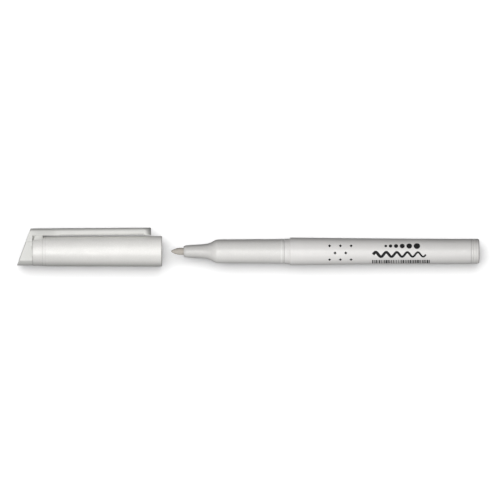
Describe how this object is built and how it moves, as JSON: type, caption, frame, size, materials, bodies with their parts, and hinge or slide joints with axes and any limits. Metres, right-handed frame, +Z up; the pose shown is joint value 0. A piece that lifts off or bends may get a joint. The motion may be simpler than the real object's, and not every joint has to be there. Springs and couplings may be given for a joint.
{
  "type": "decorating marker",
  "caption": "Slim valve-action paint marker for decorating, with a bullet nib and a pull-off cap that has a pocket clip and a slanted end.",
  "frame": {"origin": "on the surface that the marker lies on, under the middle of its bounding box with the cap pulled off as in the picture", "axes": "+X along the pen's axis from nib to tail, +Y the side that the cap's clip points to, +Z up from the surface"},
  "size_m": [0.1896, 0.016, 0.0125],
  "materials": {
    "pearl_silver_plastic": "satin pearl silver, moulded",
    "cap_end_plastic": "satin silver grey, moulded",
    "nib_fibre": "pressed polyester fibre, unused",
    "soft_seal": "matt",
    "natural_plastic": "undyed, slightly milky",
    "spring_steel": "drawn wire",
    "ball_steel": "polished"
  },
  "bodies": {
    "pen": {"barrel": "pearl_silver_plastic", "tail_plug": "pearl_silver_plastic", "front_section": "pearl_silver_plastic", "valve_seat": "soft_seal", "valve_spring": "spring_steel", "valve_cage": "natural_plastic", "tank_gasket": "soft_seal"},
    "nib_and_stem": {"nib": "nib_fibre", "valve_stem": "natural_plastic"},
    "ball": {"mixing_ball": "ball_steel"},
    "cap": {"cap_tube": "pearl_silver_plastic", "cap_end_clip": "cap_end_plastic", "cap_liner": "natural_plastic"}
  },
  "joints": [
    {"name": "cap_slide", "type": "slide", "parent": "pen", "child": "cap", "axis": [1, 0, 0], "range_m": [0, 0.0522]},
    {"name": "nib_press", "type": "slide", "parent": "pen", "child": "nib_and_stem", "axis": [1, 0, 0], "range_m": [0, 0.0013], "stiffness_N_per_m": 300, "springref_m": -0.004, "deforming": ["valve_spring"]},
    {"name": "ball_roll", "type": "slide", "parent": "pen", "child": "ball", "axis": [1, 0, 0], "range_m": [-0.047, 0]}
  ]
}
